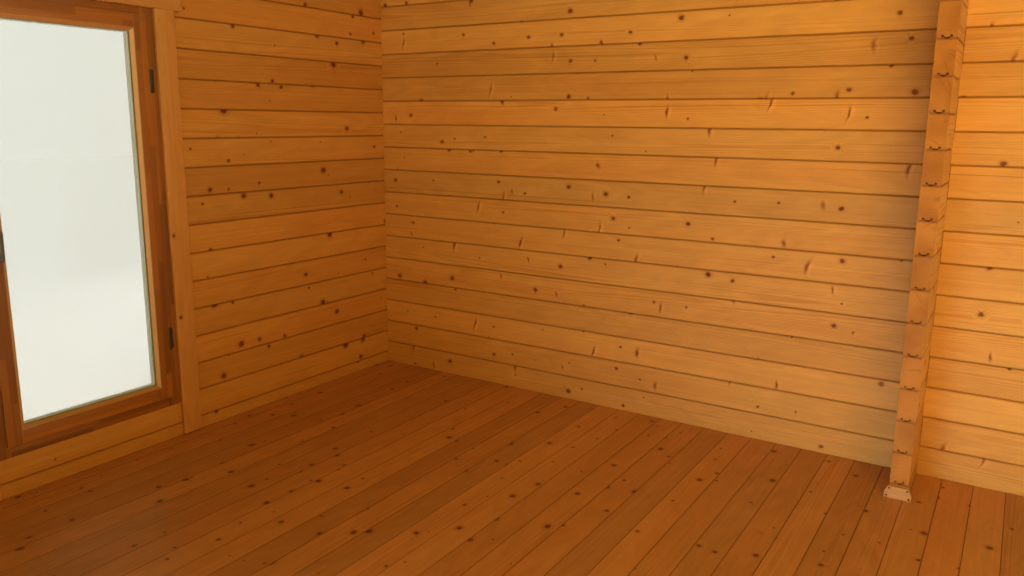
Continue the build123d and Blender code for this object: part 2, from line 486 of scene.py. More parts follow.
endLook = {
    "ring": 0.5,
    "sway": 1.6,
    "plainWood": 0.2,
    "splits": (0.63, 0.70),
    "splitStrength": 0.4,
}


def findKnots(paint, far, v, wobble, luck, endways, look):
    # how the rings bend round the knots, and masks and a number for each knot
    size = look["knotCell"]
    cell = paint.cells(far / (size * knotLook["stretch"]) + wobble * knotLook["wobbleAlong"],
                       (v + luck[1] * 5.0) / size + wobble * knotLook["wobbleAcross"])
    large, chosen, kind = paint.split(cell.also("Color"))
    growth = look["knotLarge"] - look["knotSmall"]
    radius = look["knotSmall"] + growth * large ** knotLook["rarity"]
    present = paint.share(chosen, look["knotShare"]) * (1.0 - endways)
    out = cell * size / radius
    heart = paint.fade(out, *knotLook["heartFade"]) * present
    halo = paint.fade(out, *knotLook["haloFade"]) * present
    rim = paint.fade(abs(out - knotLook["rimAt"]), *knotLook["rimFade"]) * present * kind
    bend = paint.fade(out, *knotLook["bendFade"]) * present * radius * knotLook["bend"]
    return bend, (heart, halo, rim, kind)


def shadeKnots(paint, colour, knots, fibre, look):
    heart, halo, rim, kind = knots
    palest = tuple(q * knotLook["palest"] for q in look["knot"])
    kept = paint.mix(kind + fibre, look["knot"], palest)
    colour = paint.shade(colour, halo * knotLook["haloStrength"], knotLook["halo"])
    colour = paint.shade(colour, heart * knotLook["heartStrength"], kept)
    return paint.shade(colour, rim * knotLook["rimStrength"], knotLook["rim"])


def addSpikes(paint, colour, far, v, wobble, luck, endways, look):
    # knots sawn lengthways, which stand like short dark commas across the grain
    a, _, c = luck
    downU, downV = spikeLook["places"]
    up = v + c * 3.0
    cell = paint.cells(far * downU, up * downV)
    r, chosen, s = paint.split(cell.also("Color"))
    cellU, cellV, _ = paint.split(cell.also("Position"))
    du, dv = far - cellU / downU, up - cellV / downV
    lean = du - dv * (r - 0.5) * spikeLook["lean"] - dv * dv * (s - 0.5) * spikeLook["curl"]
    lean = lean + wobble * spikeLook["wobble"]
    thick = spikeLook["thin"] + spikeLook["thickMore"] * s * s
    tall = spikeLook["short"] + spikeLook["tallMore"] * r
    spike = paint.oval(lean, dv, thick + dv * (r - 0.4) * spikeLook["wedge"], tall)
    flare = paint.oval(lean - spikeLook["flareOff"], dv, spikeLook["flareWide"],
                       tall * spikeLook["flareTall"])
    there = paint.share(chosen, look["spikes"]) * (1.0 - endways)
    for spot, part, strength in ((flare, "flare", r * 0.6), (spike, "edge", 0.7),
                                 (spike, "core", 0.40 + 0.55 * a)):
        mask = paint.fade(spot, *spikeLook[part + "Fade"]) * there
        colour = paint.shade(colour, mask * strength, spikeLook[part])
    return colour


def findChecks(paint, far, v, wander, luck, endways, look):
    # long drying cracks that come and go
    a, b, _ = luck
    limit = checkLook["seldom"] - checkLook["easier"] * look["checks"]
    opened = paint.noise(paint.point(far * 0.40, a * 13.0, 8.0), 0.0)
    opened = paint.step(opened, limit, limit + 0.1)
    gap = abs(v - (b - 0.5) * checkLook["offMiddle"] - wander * checkLook["stray"])
    return paint.fade(gap, *checkLook["edge"]) * opened * (1.0 - endways)


def endGrain(paint, late, sway, acrossV, acrossW, reach, a, look):
    # the same rings as arcs, darker, with fine rays from the pith
    angle = paint.sum("ARCTAN2", acrossV, acrossW)
    ray = paint.noise(paint.point(angle * 14.0, reach * 12.0, a * 40.0), 1.0, 0.7)
    grain = late * endLook["ring"] + sway * endLook["sway"] + endLook["plainWood"]
    colour = paint.mix(grain, look["endLight"], look["endDark"])
    colour = paint.tint(colour, 0.88 + a * 0.26)
    split = paint.step(ray, *endLook["splits"]) * endLook["splitStrength"]
    return paint.mix(split, colour, tuple(q * 0.5 for q in look["endDark"]))


def wood(paint, u, v, w, endways, luck, look):
    # returns colour, roughness and height of softwood; luck, three numbers for each timber,
    # gives it its own place in the patterns
    a, b, c = luck
    far = u + a * 31.0
    wander = paint.waver(far * 0.45, b * 19.0, 0.0)
    sway = paint.waver(far * 0.8, v * 11.0, w * 11.0, 1.0)
    streak = paint.waver(far * 1.6, v * 75.0, w * 75.0 + b * 7.0, 2.0, 0.6)
    fibre = paint.waver(far * 25.0, v * 900.0, w * 900.0)
    figure = paint.waver(far * 8.0 + sway * 6.0, v * 9.0, b * 21.0, 2.0)
    wobble = paint.waver(far * 60.0, v * 60.0, a * 9.0)

    # rings lie round a pith that wanders along the timber, and bend round the knots
    acrossV = v - (b - 0.5) * ringLook["pithAcross"] - wander * ringLook["pithWander"]
    acrossW = w - (c - 0.5) * ringLook["pithDeep"]
    reach = (acrossV * acrossV + acrossW * acrossW) ** 0.5
    radius = reach + sway * ringLook["sway"] + far * ringLook["taper"]
    if look["knotShare"] > 0:
        bend, knots = findKnots(paint, far, v, wobble, luck, endways, look)
        radius = radius + bend
    late = paint.node("ValToRGB", {"stops": ringLook["stops"]},
                      {"Fac": paint.sum("FRACT", radius / look["ringGap"])})

    grain = late * look["ringDepth"] + streak * look["streaks"] + sway * look["bands"]
    colour = paint.mix(grain + ringLook["plainWood"], look["light"], look["dark"])
    tone = (a - 0.5) * look["toneSpread"] + sway * 0.20 + fibre * 0.08 + figure * look["figure"]
    colour = paint.tint(colour, tone + 1.0)
    colour = paint.shade(colour, b * 0.5 + 0.1, ringLook["redder"])
    height = fibre * 0.5 + streak * 0.8
    if look["knotShare"] > 0:
        colour = shadeKnots(paint, colour, knots, fibre, look)
    if look["spikes"] > 0:
        colour = addSpikes(paint, colour, far, v, wobble, luck, endways, look)
    if look["checks"] > 0:
        crack = findChecks(paint, far, v, wander, luck, endways, look)
        colour = paint.shade(colour, crack * checkLook["strength"], checkLook["kept"])
        height = height - crack * checkLook["depth"]
    ends = endGrain(paint, late, sway, acrossV, acrossW, reach, a, look)
    roughness = look["roughness"] + late * 0.08 + streak * 0.18 + endways * 0.2
    return paint.mix(endways, colour, ends), roughness, height


def faceTo(paint, axis):
    # 1 where the surface faces along an axis, 0 elsewhere
    parts = paint.split(paint.coords("Normal"))
    return paint.step(abs(parts[axis]), 0.75, 0.85)


dryWood = {"Specular IOR Level": 0.16}
logLook = dict(woodBase, checks=0.45, edgeShade=0.7, jointGapShadows=0.0, crossing=None, cornerDots=None)
jointLook = {
    "shadeFrom": 0.0075,       # off the joint, where its dust and shade start
    "shadeTo": 0.0010,
    "shade": (0.46, 0.36, 0.29),
    "housingOff": 0.0012,      # from the stub's side to the line of its housing
    # painted shadow of that gap: its half width, strength and the share of colour kept
    "housingShadowLine": (0.0006, 0.0022),
    "housingShadowStrength": 0.85,
    "housing": (0.25, 0.19, 0.17),
    # painted shade of the small hollows at the corner
    "hollowOff": 0.002,
    "hollowSize": (0.0052, 0.0060),
    "hollowFade": (0.6, 1.3),
    "hollowStrength": 0.9,
    "hollowShade": (0.16, 0.10, 0.08),
    "innerUp": 0.0010,         # the painted shadow spots on the stub's end, from the joint
    "innerSize": (0.0082, 0.0052),
    "outerUp": 0.0098,
    "outerAside": 0.0145,
    "outerSize": (0.0054, 0.0046),
    "outerWeaker": 1.15,
    "gapShadowFade": (0.7, 1.35),
    "gapShadowColour": (0.012, 0.004, 0.001),
}


def logWood(name, axis, middle, seed, halfUp, look):
    paint = Paint(name)
    x, y, z = paint.split(paint.coords())
    along, deep = (x, y) if axis == 0 else (y, x)
    row = (z - logBase) / course + (0.5 if halfUp else 0.0)
    number = paint.sum("FLOOR", row)
    v = (row - number - 0.5) * course
    luck = paint.chance(number * 1.37, seed, seed * 0.61)
    endways = faceTo(paint, axis)
    colour, roughness, height = wood(paint, along, v, deep - middle, endways, luck, look)
    # dust and shade gather in the joints
    joint = jointLook
    edge = paint.step(abs(v), course / 2 - joint["shadeFrom"], course / 2 - joint["shadeTo"])
    colour = paint.shade(colour, edge * look["edgeShade"], joint["shade"])
    if look["crossing"] is not None:
        # every other log is housed in the stub's side with a gap, which a painted shadow line
        # stands for
        beside = abs(abs(along - look["crossing"]) - wallThick / 2 - joint["housingOff"])
        housingShadow = paint.fade(beside, *joint["housingShadowLine"]) * abs(paint.sum("MODULO", number, 2.0))
        colour = paint.shade(colour, housingShadow * joint["housingShadowStrength"], joint["housing"])
    if look["cornerDots"] is not None:
        # painted shade of small hollows where the joints run into the corner
        hollowShade = paint.oval(along - look["cornerDots"] + joint["hollowOff"], abs(v) - course / 2,
                            *joint["hollowSize"])
        hollowShade = paint.fade(hollowShade, *joint["hollowFade"]) * joint["hollowStrength"]
        colour = paint.shade(colour, hollowShade, joint["hollowShade"])
    if look["jointGapShadows"] > 0:
        # painted shadow in the ends of the gaps between tongues and grooves
        side = abs(deep - middle)
        up = v + course / 2
        inner = paint.oval(side, up - joint["innerUp"], *joint["innerSize"])
        outer = paint.oval(side - joint["outerAside"], up - joint["outerUp"], *joint["outerSize"])
        nearest = paint.sum("MINIMUM", inner, outer * joint["outerWeaker"])
        gapShadows = paint.fade(nearest, *joint["gapShadowFade"])
        colour = paint.mix(gapShadows * endways * look["jointGapShadows"], colour, joint["gapShadowColour"])
    return paint.finish(colour, roughness, height, look["grainDepth"], dryWood)


backLogWood = logWood("backLogWood", 0, wallY + wallThick / 2, 3.1, False,
                      dict(logLook, spikes=0.75, knotCell=0.170, knotShare=0.55, crossing=stubX))
# the left wall's wood is darker and browner than the back wall's: painted shade in part, since
# that wall gets less light
leftLogWood = logWood("leftLogWood", 1, wallX - wallThick / 2, 8.7, True,
                      dict(logLook, light=(0.59, 0.250, 0.052), dark=(0.41, 0.136, 0.021),
                           knotLarge=0.0150, knotShare=0.62, cornerDots=wallY))
stubLogWood = logWood("stubLogWood", 1, stubX, 15.3, True,
                      dict(logLook, toneSpread=0.3, jointGapShadows=1.0, endLight=(0.46, 0.155, 0.027),
                           endDark=(0.29, 0.083, 0.012)))
finishNodes([n for n in nodes if n.startswith("back_log_")], backLogWood)
finishNodes([n for n in nodes if n.startswith("left_") and n != "left_bearer"], leftLogWood)
finishNodes(["stub_logs_even", "stub_logs_odd"], stubLogWood)
print("logs finished")


# floor
floorLook = dict(
    woodBase,
    light=(0.53, 0.200, 0.052), dark=(0.36, 0.111, 0.022), knot=(0.20, 0.095, 0.055),
    toneSpread=0.34, figure=0.42, knotCell=0.14, knotLarge=0.0125, knotShare=0.66,
    roughness=0.38, grainDepth=0.0003,
)
boardLook = {
    "pitch": 0.1161,
    "firstJoint": 0.6488,      # a joint between two boards, along X
    "halfThick": 0.013,
    "gap": 0.0009,
    "edgeBevel": 0.0009,
    "tongueLow": 0.0095,       # below the boards' top
    "tongueHigh": 0.0165,
    "tongueOut": 0.006,
    "tongueThin": 0.8,
    "grooveSpare": 0.0005,
    "stubGap": 0.002,
    "shadeFrom": 0.0545,       # off the board's middle, where the joint's shade starts
    "shadeTo": 0.0576,
    "shade": (0.30, 0.22, 0.19),
}


def boardWood(name, look, boards):
    paint = Paint(name)
    x, y, z = paint.split(paint.coords())
    row = (x - boards["firstJoint"]) / boards["pitch"] + 60.0  # never below 0
    number = paint.sum("FLOOR", row)
    v = (row - number - 0.5) * boards["pitch"]
    luck = paint.chance(number * 1.73, 4.4, 0.9)
    colour, roughness, height = wood(paint, y, v, z - floorZ + boards["halfThick"],
                                     faceTo(paint, 1), luck, look)
    edge = paint.step(abs(v), boards["shadeFrom"], boards["shadeTo"])
    colour = paint.shade(colour, edge * (0.45 + 0.45 * luck[1]), boards["shade"])
    return paint.finish(colour, roughness, height, look["grainDepth"], {
        "Specular IOR Level": 0.3, "Coat Weight": 0.12, "Coat Roughness": 0.25})


def makeBoards(look):
    low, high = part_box("floor_deck")
    pitch = look["pitch"]
    width = pitch - look["gap"]
    first = look["firstJoint"] - pitch * math.ceil((look["firstJoint"] - low[0]) / pitch)
    board = addBox("floor_board", (first, low[1], low[2]), (first + width, high[1], high[2]))
    for drop in (look["tongueLow"], look["tongueHigh"]):
        editAll(board)
        bpy.ops.mesh.bisect(plane_co=(0, 0, high[2] - drop), plane_no=(0, 0, 1))
        leaveEdit()
    # a tongue on one edge and a groove in the other
    level = high[2] - (look["tongueLow"] + look["tongueHigh"]) / 2
    out = look["tongueOut"]
    for way, step, thin in ((1, out, look["tongueThin"]), (-1, out + look["grooveSpare"], 1)):
        sideFace = facing(0, way)
        pick(board, "FACE", lambda p, n: sideFace(p, n) and abs(p[2] - level) < 0.001)
        bpy.ops.mesh.extrude_region_move(TRANSFORM_OT_translate={"value": (step, 0, 0)})
        bpy.ops.transform.resize(value=(1, 1, thin), center_override=(0, 0, level))
        leaveEdit()
    bevelEdges(board, look["edgeBevel"], 2, runsAlong(1), lieAt(2, high[2]))
    count = math.ceil((high[0] - first) / pitch)
    boards = [copyOf(board, "floor_board", (pitch * i, 0, 0)) for i in range(1, count)]
    boards.insert(0, board)
    cutOff(boards[0], (low[0], 0, 0), (-1, 0, 0))
    for one in boards[-2:]:
        cutOff(one, (high[0], 0, 0), (1, 0, 0))
    reach = wallThick / 2 + look["stubGap"]
    pastEnd, pastFace = 0.05, 0.01
    for i, one in enumerate(boards):
        left = first + pitch * i
        if left < stubX + reach and left + pitch > stubX - reach:
            start = stubLow[1] - look["stubGap"]
            cutter = addBox("stub_cut", (stubX - reach, start, low[2] - pastFace),
                            (stubX + reach, high[1] + pastEnd, high[2] + pastFace))
            cutAway(one, cutter)
    return joinAll(boards, "floor_boards")


floorBoards = makeBoards(boardLook)
place(floorBoards, "floor_wood", boardWood("floorBoardWood", floorLook, boardLook), "floor_deck")
print("floor laid:", len(floorBoards.data.polygons), "faces")


# bearers and joists
bearerLook = dict(
    woodBase,
    light=(0.40, 0.33, 0.17), dark=(0.24, 0.20, 0.10),
    endLight=(0.30, 0.24, 0.13), endDark=(0.16, 0.13, 0.07), roughness=0.78, grainDepth=0.0009,
    timbers=2.3, sawMarks=320.0, sawDepth=1.4,  # timbers and marks in a metre
)


def sawnWood(name, axis, look):
    paint = Paint(name)
    parts = paint.split(paint.coords())
    along, across = parts[axis], parts[1 - axis]
    number = paint.sum("FLOOR", across * look["timbers"])
    luck = paint.chance(number, 2.2, axis * 3.0)
    colour, roughness, height = wood(paint, along, parts[2], across, faceTo(paint, axis),
                                     luck, look)
    saw = paint.noise(paint.point(along * look["sawMarks"], parts[2] * 9.0, across * 9.0), 1.0)
    colour = paint.tint(colour, 0.9 + saw * 0.2)
    return paint.finish(colour, roughness, height + saw * look["sawDepth"], look["grainDepth"])


finishNodes(["floor_joists", "back_bearer"], sawnWood("joistWood", 0, bearerLook))
finishNodes(["left_bearer", "stub_bearer"], sawnWood("bearerWood", 1, bearerLook))


# window
windowLook = dict(
    woodBase,
    light=(0.46, 0.150, 0.024), dark=(0.31, 0.084, 0.011), knotShare=0.0, ringGap=0.0024,
    toneSpread=0.0, streaks=0.22, figure=0.15, roughness=0.42, grainDepth=0.00025,
)
stripLook = {
    "width": 0.028,
    "layer": 0.034,            # thickness of the layers that the strips lie in
    "blockLength": 0.52,
    "fingerLength": 0.006,
    "fingerPitch": 0.0042,
    "darkest": 0.38,
    "lightest": 1.08,
    "seam": 0.0006,
    "bevelLight": 0.26,          # painted light: how much paler the bevels beside the glass are made
    "pale": (0.86, 0.46, 0.17),
    "bevelFrom": (0.25, 0.35), # how far a bevel turns from the members' other faces
    "bevelTo": (0.90, 0.96),
}


def stripWood(name, axis, edge, seed, look, strips):
    # strips glued side by side, each of blocks with finger joints between them
    paint = Paint(name)
    parts = paint.split(paint.coords())
    side = 1 if axis == 2 else 2
    along, across, deep = parts[axis], parts[side], parts[0]
    row = (across - edge) / strips["width"] + 200.0
    strip = paint.sum("FLOOR", row)
    layer = paint.sum("FLOOR", (deep - sashHigh[0]) / strips["layer"] + 49.99)
    start, _, _ = paint.chance(strip, layer, seed)
    teeth = deep / strips["fingerPitch"] + across / strips["fingerPitch"]
    finger = abs(paint.sum("FRACT", teeth) - 0.5)
    run = along + start * 3.0 + finger * strips["fingerLength"]
    block = paint.sum("FLOOR", run / strips["blockLength"])
    a, b, c = paint.chance(block, strip, seed + layer * 1.7)
    v = (row - strip - 0.5) * strips["width"]
    colour, roughness, height = wood(paint, along, v, deep - sashHigh[0], faceTo(paint, axis),
                                     (a, b, c), look)
    spread = strips["lightest"] - strips["darkest"]
    colour = paint.tint(colour, strips["darkest"] + spread * c ** 0.6)
    # painted light: faces that slant towards the glass are made paler
    turned = abs(paint.split(paint.coords("Normal"))[side])
    bevel = paint.step(turned, *strips["bevelFrom"]) * paint.fade(turned, *strips["bevelTo"])
    colour = paint.mix(bevel * strips["bevelLight"], colour, strips["pale"])
    seam = paint.fade(abs(abs(v) - strips["width"] / 2), 0.0, strips["seam"])
    colour = paint.mix(seam * 0.35, colour, tuple(q * 0.4 for q in look["dark"]))
    return paint.finish(colour, roughness, height, look["grainDepth"], {
        "Coat Weight": 0.15, "Coat Roughness": 0.3})


memberLook = {
    "stile": 0.057,
    "jamb": 0.073,
    "rounding": 0.0011,
    "railEdge": 0.023,         # an edge of the rails' strips, above the sash's foot
    "sillEdge": 0.001,         # the same for the frame's sill and head
}


def paintUprightFaces(piece, material):
    # rails keep the bevels of the uprights at their ends, which take the uprights' wood
    piece.data.materials.append(material)
    for face in piece.data.polygons:
        if abs(face.normal[1]) > 0.3:
            face.material_index = 1


def memberPair(name, node, inset, uprights):
    # the two uprights of a ring, or the two pieces that lie between them
    low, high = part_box(node)
    ends = ((0, low[1] + inset, 0), 1), ((0, high[1] - inset, 0), -1)
    if uprights:
        parts = [nodeCopy(name, node) for end in ends]
        for part, (cut, way) in zip(parts, ends):
            cutOff(part, cut, (0, way, 0))
    else:
        parts = [nodeCopy(name, node)]
        for cut, way in ends:
            cutOff(parts[0], cut, (0, -way, 0))
    piece = joinAll(parts, name)
    roundEdges(piece, memberLook["rounding"])
    return smooth(piece)


railEdge, sillEdge = (sashLow[2] + memberLook[edge] for edge in ("railEdge", "sillEdge"))
stileStrips = dict(stripLook, bevelLight=0.55)
# the frame's strips are darker than the sash's: painted shade, as the frame lies deep between sash
# and casing
frameStrips = dict(stripLook, darkest=0.32, lightest=0.95, bevelLight=0.0)
sashUprightWood = stripWood("sashUprightWood", 2, sashHigh[1], 21.0, windowLook, stileStrips)
sashRailWood = stripWood("sashRailWood", 1, railEdge, 33.0, windowLook, stripLook)
frameUprightWood = stripWood("frameUprightWood", 2, sashHigh[1], 47.0, windowLook, frameStrips)
frameRailWood = stripWood("frameRailWood", 1, sillEdge, 58.0, windowLook, frameStrips)
place(memberPair("sash_stiles", "window_sash", memberLook["stile"], True),
      "window_wood", sashUprightWood, "window_sash")
sashRails = memberPair("sash_rails", "window_sash", memberLook["stile"], False)
place(sashRails, "window_wood", sashRailWood, "window_sash")
paintUprightFaces(sashRails, sashUprightWood)
place(memberPair("frame_jambs", "window_frame", memberLook["jamb"], True),
      "window_wood", frameUprightWood, "window_frame")
frameRails = memberPair("frame_head_and_sill", "window_frame", memberLook["jamb"], False)
place(frameRails, "window_wood", frameRailWood, "window_frame")
paintUprightFaces(frameRails, frameUprightWood)
print("window members made")


glassLook = {
    "colour": (0.78, 0.86, 0.83),
    "index": 1.5,
    "clear": 0.05,             # least alpha, where one looks straight through
    "glance": 0.8,
    "film": 0.015,
}
spacerLook = {
    # pale metal grey made bluer: painted reflection of the sky outside
    "light": (0.82, 0.88, 1.0),
    "slotColour": (0.22, 0.19, 0.18),
    "slot": (0.0006, 0.0012),  # half the width of the slot in its middle
    "metallic": 0.2,
}
rubberLook = {"dark": (0.150, 0.115, 0.100), "light": (0.230, 0.180, 0.160)}
# light and dark colour, roughness and metallic
metalLook = {
    "fittingMetal": ((0.19, 0.165, 0.14), (0.11, 0.095, 0.08), 0.34, 0.85),
    "hingeMetal": ((0.085, 0.070, 0.045), (0.045, 0.036, 0.024), 0.42, 0.7),
    # nearly black heads: painted shade of the deep holes they sit in
    "holeShadeScrewMetal": ((0.030, 0.018, 0.010), (0.012, 0.008, 0.005), 0.8, 0.0),
    "screwMetal": ((0.16, 0.13, 0.10), (0.07, 0.055, 0.045), 0.42, 0.8),
}


def glassPaint(look):
    paint = Paint("windowGlass")
    film = paint.noise(paint.coords(), 3.0)
    edge = paint.node("Fresnel", sockets={"IOR": look["index"]})
    alpha = edge * look["glance"] + look["clear"] + film * look["film"]
    return paint.finish(look["colour"], film * 0.03 + 0.01, extra={"Alpha": alpha})


def spacerPaint(look):
    paint = Paint("spacerMetal")
    low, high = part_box("glass_spacer")
    speck = paint.noise(paint.coords(), 2.0, scale=300.0)
    x, _, _ = paint.split(paint.coords())
    slot = paint.fade(abs(x - (low[0] + high[0]) / 2), *look["slot"])
    colour = paint.mix(slot, look["light"], look["slotColour"])
    colour = paint.tint(colour, 0.85 + speck * 0.3)
    return paint.finish(colour, 0.36 + speck * 0.2, speck - slot * 2.0, 0.0002,
                        {"Metallic": look["metallic"]})


def rubberPaint(look):
    paint = Paint("sealRubber")
    speck = paint.noise(paint.coords(), 3.0, scale=500.0)
    return paint.finish(paint.mix(speck, look["dark"], look["light"]), 0.55 + speck * 0.25,
                        speck, 0.0003)


def metalPaint(name, light, dark, roughness, metallic):
    paint = Paint(name)
    x, y, z = paint.split(paint.coords())
    brushed = paint.noise(paint.point(x * 900.0, y * 900.0, z * 14.0), 3.0, 0.7)
    worn = paint.noise(paint.coords(), 2.0, scale=40.0)
    colour = paint.mix(worn, light, dark)
    return paint.finish(colour, roughness + brushed * 0.16 + worn * 0.08, brushed, 0.00008,
                        {"Metallic": metallic})


finishNodes(["window_panes"], glassPaint(glassLook))
finishNodes(["glass_spacer"], spacerPaint(spacerLook))
metals = {name: metalPaint(name, *facts) for name, facts in metalLook.items()}

sealLook = {
    "sightInset": 0.072,       # from the sash's outline to where the glass shows
    "tucked": 0.0006,          # and how far the seals start outside that
    "lip": 0.0022,
    "stands": 0.0018,          # off the glass
    "rounding": 0.0008,
}


def makeSeals(look):
    # flat boxes, inset on both faces and bridged into rings
    paneLow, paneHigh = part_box("window_panes")
    inset = look["sightInset"] - look["tucked"]
    stands = look["stands"]
    rings = []
    for near, far in ((paneHigh[0], paneHigh[0] + stands), (paneLow[0] - stands, paneLow[0])):
        ring = addBox("glass_seals", (near, sashLow[1] + inset, sashLow[2] + inset),
                      (far, sashHigh[1] - inset, sashHigh[2] - inset))
        pick(ring, "FACE", lambda middle, normal: abs(normal[0]) > 0.9)
        bpy.ops.mesh.inset(thickness=look["lip"], use_individual=True)
        bpy.ops.mesh.bridge_edge_loops()
        leaveEdit()
        roundEdges(ring, look["rounding"])
        rings.append(ring)
    return smooth(joinAll(rings, "glass_seals"))


place(makeSeals(sealLook), "window_wood", rubberPaint(rubberLook))
print("glass, spacer and seals finished")


# casing
casingLook = dict(
    woodBase,
    light=(0.66, 0.300, 0.086), dark=(0.47, 0.170, 0.038), knotCell=0.17,
    toneSpread=0.18, roughness=0.48, rounding=0.0022,
)


def casingWood(name, axis, seed, look):
    paint = Paint(name)
    parts = paint.split(paint.coords())
    across = parts[3 - axis]
    number = paint.sum("FLOOR", across * 0.9 + parts[0] * 9.0 + 30.0)
    luck = paint.chance(number, seed, 1.0)
    colour, roughness, height = wood(paint, parts[axis], across, parts[0] - wallX,
                                     faceTo(paint, axis), luck, look)
    return paint.finish(colour, roughness, height, look["grainDepth"], dryWood)


def makeCasing(name, node):
    piece = nodeCopy(name, node)
    roundEdges(piece, casingLook["rounding"], 3)
    return smooth(piece)


uprightCasingWood = casingWood("uprightCasingWood", 2, 6.0, casingLook)
headCasingWood = casingWood("headCasingWood", 1, 9.0, casingLook)
for side in ("inner", "outer"):
    place(makeCasing(side + "_upright_boards", side + "_casing_uprights"),
          "casing_wood", uprightCasingWood, side + "_casing_uprights")
    place(makeCasing(side + "_head_board", side + "_head_casing"),
          "casing_wood", headCasingWood, side + "_head_casing")
place(makeCasing("drip_board_planed", "drip_board"), "casing_wood", headCasingWood, "drip_board")


nailLook = {
    "radius": 0.0021,
    "thick": 0.0012,
    "edge": 0.0004,
    "sunk": 0.0004,            # how far the head's middle lies below the boards' face
    "boardWidth": 0.095,
    "uprightInset": (0.017, 0.05),  # from the board's sides and ends
    "uprightRows": 5,
    "uprightStray": 0.008,
    "headInset": (0.02, 0.04),
    "headRows": 5,
    "headStray": 0.004,
}


def evenly(low, high, inset, count):
    return [low + inset + (high - low - 2 * inset) * i / (count - 1) for i in range(count)]


def makeNails(look):
    # small nail heads that stand a little proud of the boards
    nail = addRod("nail", (0, 0, 0), look["radius"], look["thick"], "X", 10)
    bevelEdges(nail, look["edge"], 1, lieAt(0, look["thick"] / 2))
    nails = []
    for side, outward in (("inner", 1), ("outer", -1)):
        spots = []
        low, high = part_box(side + "_casing_uprights")
        face = high[0] if outward > 0 else low[0]
        width = look["boardWidth"]
        aside, end = look["uprightInset"]
        stray = look["uprightStray"]
        for edge in (low[1], high[1] - width):
            for z in evenly(low[2], high[2], end, look["uprightRows"]):
                for y in (edge + aside, edge + width - aside):
                    spots.append((face, y, z + random.uniform(-stray, stray)))
        low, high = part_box(side + "_head_casing")
        face = high[0] if outward > 0 else low[0]
        aside, end = look["headInset"]
        stray = look["headStray"]
        for y in evenly(low[1], high[1], end, look["headRows"]):
            for z in (low[2] + aside, high[2] - aside):
                spots.append((face, y, z + random.uniform(-stray, stray)))
        for x, y, z in spots:
            nails.append(copyOf(nail, "nail", (x - outward * look["sunk"], y, z)))
    bpy.data.objects.remove(nail, do_unlink=True)
    return joinAll(nails, "casing_nails")


place(makeNails(nailLook), "fitting_metal", metals["screwMetal"])
print("casing boards nailed")


# handle and hinges
screwLook = {
    "thick": 0.0016,
    # shares of the head's radius
    "edge": 0.12,
    "slotWide": 0.32,
    "slotLong": 1.24,
}
handleLook = {
    "plateThick": 0.009,
    "plateTall": 0.066,
    "plateRound": 0.0137,
    "plateEdge": 0.0024,
    "neckRadius": 0.0078,
    "neckShort": 0.004,        # than the handle stands out
    "leverThick": 0.011,
    "leverWide": 0.020,
    "leverLong": 0.118,
    "leverRound": 0.0096,
    "leverEdge": 0.0034,
    "thinTip": 0.80,
    "screwRadius": 0.0034,
    "screwsApart": 0.047,
}


def makeScrew(spot, radius):
    # a countersunk head with a cross recess, facing along X
    front = screwLook["thick"] / 2
    head = addRod("screw", (0, 0, 0), radius, screwLook["thick"], "X", 16)
    bevelEdges(head, radius * screwLook["edge"], 2, lieAt(0, front))
    wide, long = radius * screwLook["slotWide"] / 2, radius * screwLook["slotLong"] / 2
    for y, z in ((long, wide), (wide, long)):
        cutAway(head, addBox("slot", (front - 0.0006, -y, -z), (front + 0.0012, y, z)))
    head.data.transform(Matrix.Translation(spot))
    return head


def makeHandle(look):
    low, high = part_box("window_handle")
    middleY = (low[1] + high[1]) / 2
    front = low[0] + look["plateThick"]
    foot = high[2] - look["plateTall"]
    plate = addBox("plate", (low[0], low[1], foot), (front, high[1], high[2]))
    bevelEdges(plate, look["plateRound"], 8, runsAlong(0))
    bevelEdges(plate, look["plateEdge"], 3, lieAt(0, front))
    plateZ = high[2] - look["plateTall"] / 2
    neck = addRod("neck", ((low[0] + high[0]) / 2, middleY, plateZ), look["neckRadius"],
                  high[0] - low[0] - look["neckShort"], "X", 32)
    back = high[0] - look["leverThick"]
    top = low[2] + look["leverLong"]
    lever = addBox("lever", (back, middleY - look["leverWide"] / 2, low[2]),
                   (high[0], middleY + look["leverWide"] / 2, top))
    pick(lever, "FACE", facing(2, -1))
    bpy.ops.transform.resize(value=(1, look["thinTip"], 1))
    leaveEdit()
    for level, thin in ((low[2], look["thinTip"]), (top, 1)):
        bevelEdges(lever, look["leverRound"] * thin, 8, runsAlong(0), lieAt(2, level))
    for x in (high[0], back):
        bevelEdges(lever, look["leverEdge"], 3, lieAt(0, x))
    aside = look["screwsApart"] / 2
    screws = [makeScrew((front, middleY, z), look["screwRadius"])
              for z in (plateZ - aside, plateZ + aside)]
    return smooth(joinAll([plate, neck, lever] + screws, "handle_set"))


place(makeHandle(handleLook), "fitting_metal", metals["fittingMetal"], "window_handle")

hingeLook = {
    "radius": 0.0068,
    "length": 0.100,
    "axisIn": 0.007,           # from the front and the side of the CAD hinge to the pin
    "knuckles": 3,
    "knuckleGap": 0.0007,
    "knuckleEdge": 0.0008,
    "pinRadius": 0.0042,
    "pinShort": 0.0002,        # at each end
    "leafShort": 0.0005,
    "leaf": 0.022,
    "leafThick": 0.003,
    "leafRound": 0.004,
    "screwsUp": (0.015, 0.050, 0.085),
    "screwsAside": 0.0145,
    "screwRadius": 0.0036,
}


